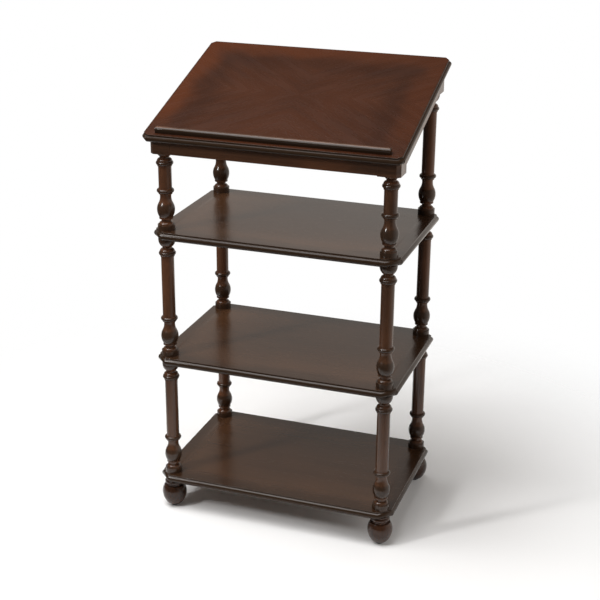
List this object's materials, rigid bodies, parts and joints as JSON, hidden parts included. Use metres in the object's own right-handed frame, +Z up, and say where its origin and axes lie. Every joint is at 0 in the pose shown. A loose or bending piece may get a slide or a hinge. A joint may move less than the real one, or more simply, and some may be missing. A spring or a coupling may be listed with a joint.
{
  "type": "photo album stand",
  "caption": "Tall open stand with clipped-corner shelves on turned posts and bun feet, under a sloping desk whose front ledge holds an open album.",
  "frame": {"origin": "on the floor, under the middle of the desk board's outline", "axes": "+X to the right as a reader faces the desk, +Y towards the back where the desk is highest, +Z up"},
  "size_m": [0.57, 0.395, 1.0263],
  "materials": {
    "stained_wood": "dark cherry stain under satin lacquer, grain along each rail and post",
    "shelf_wood": "dark cherry stained veneer on shelves, semi-gloss lacquer",
    "desk_wood": "quarter-matched dark cherry veneer, semi-gloss lacquer",
    "dowel_wood": "unfinished beech dowel",
    "plated_steel": "zinc-plated studs and screws",
    "insert_brass": "plain turned brass",
    "glide_black": "matte black"
  },
  "bodies": {
    "root": {"desk_board": "desk_wood", "book_ledge": "stained_wood", "rail_front": "stained_wood", "rail_back": "stained_wood", "rail_left": "stained_wood", "rail_right": "stained_wood", "block_front_left": "stained_wood", "block_front_right": "stained_wood", "block_back_left": "stained_wood", "block_back_right": "stained_wood", "shelf_upper": "shelf_wood", "shelf_middle": "shelf_wood", "shelf_lower": "shelf_wood", "post_upper_front_left": "stained_wood", "post_upper_front_right": "stained_wood", "post_upper_back_left": "stained_wood", "post_upper_back_right": "stained_wood", "post_middle_front_left": "stained_wood", "post_middle_front_right": "stained_wood", "post_middle_back_left": "stained_wood", "post_middle_back_right": "stained_wood", "post_lower_front_left": "stained_wood", "post_lower_front_right": "stained_wood", "post_lower_back_left": "stained_wood", "post_lower_back_right": "stained_wood", "foot_front_left": "stained_wood", "foot_front_right": "stained_wood", "foot_back_left": "stained_wood", "foot_back_right": "stained_wood", "glide_front_left": "glide_black", "glide_front_right": "glide_black", "glide_back_left": "glide_black", "glide_back_right": "glide_black", "studs_desk": "plated_steel", "studs_upper_shelf": "plated_steel", "studs_middle_shelf": "plated_steel", "studs_lower_shelf": "plated_steel", "inserts_upper_posts": "insert_brass", "inserts_middle_posts": "insert_brass", "inserts_lower_posts": "insert_brass", "inserts_feet": "insert_brass", "ledge_screws": "plated_steel", "desk_screws": "plated_steel", "rail_dowels": "dowel_wood"}
  },
  "joints": []
}
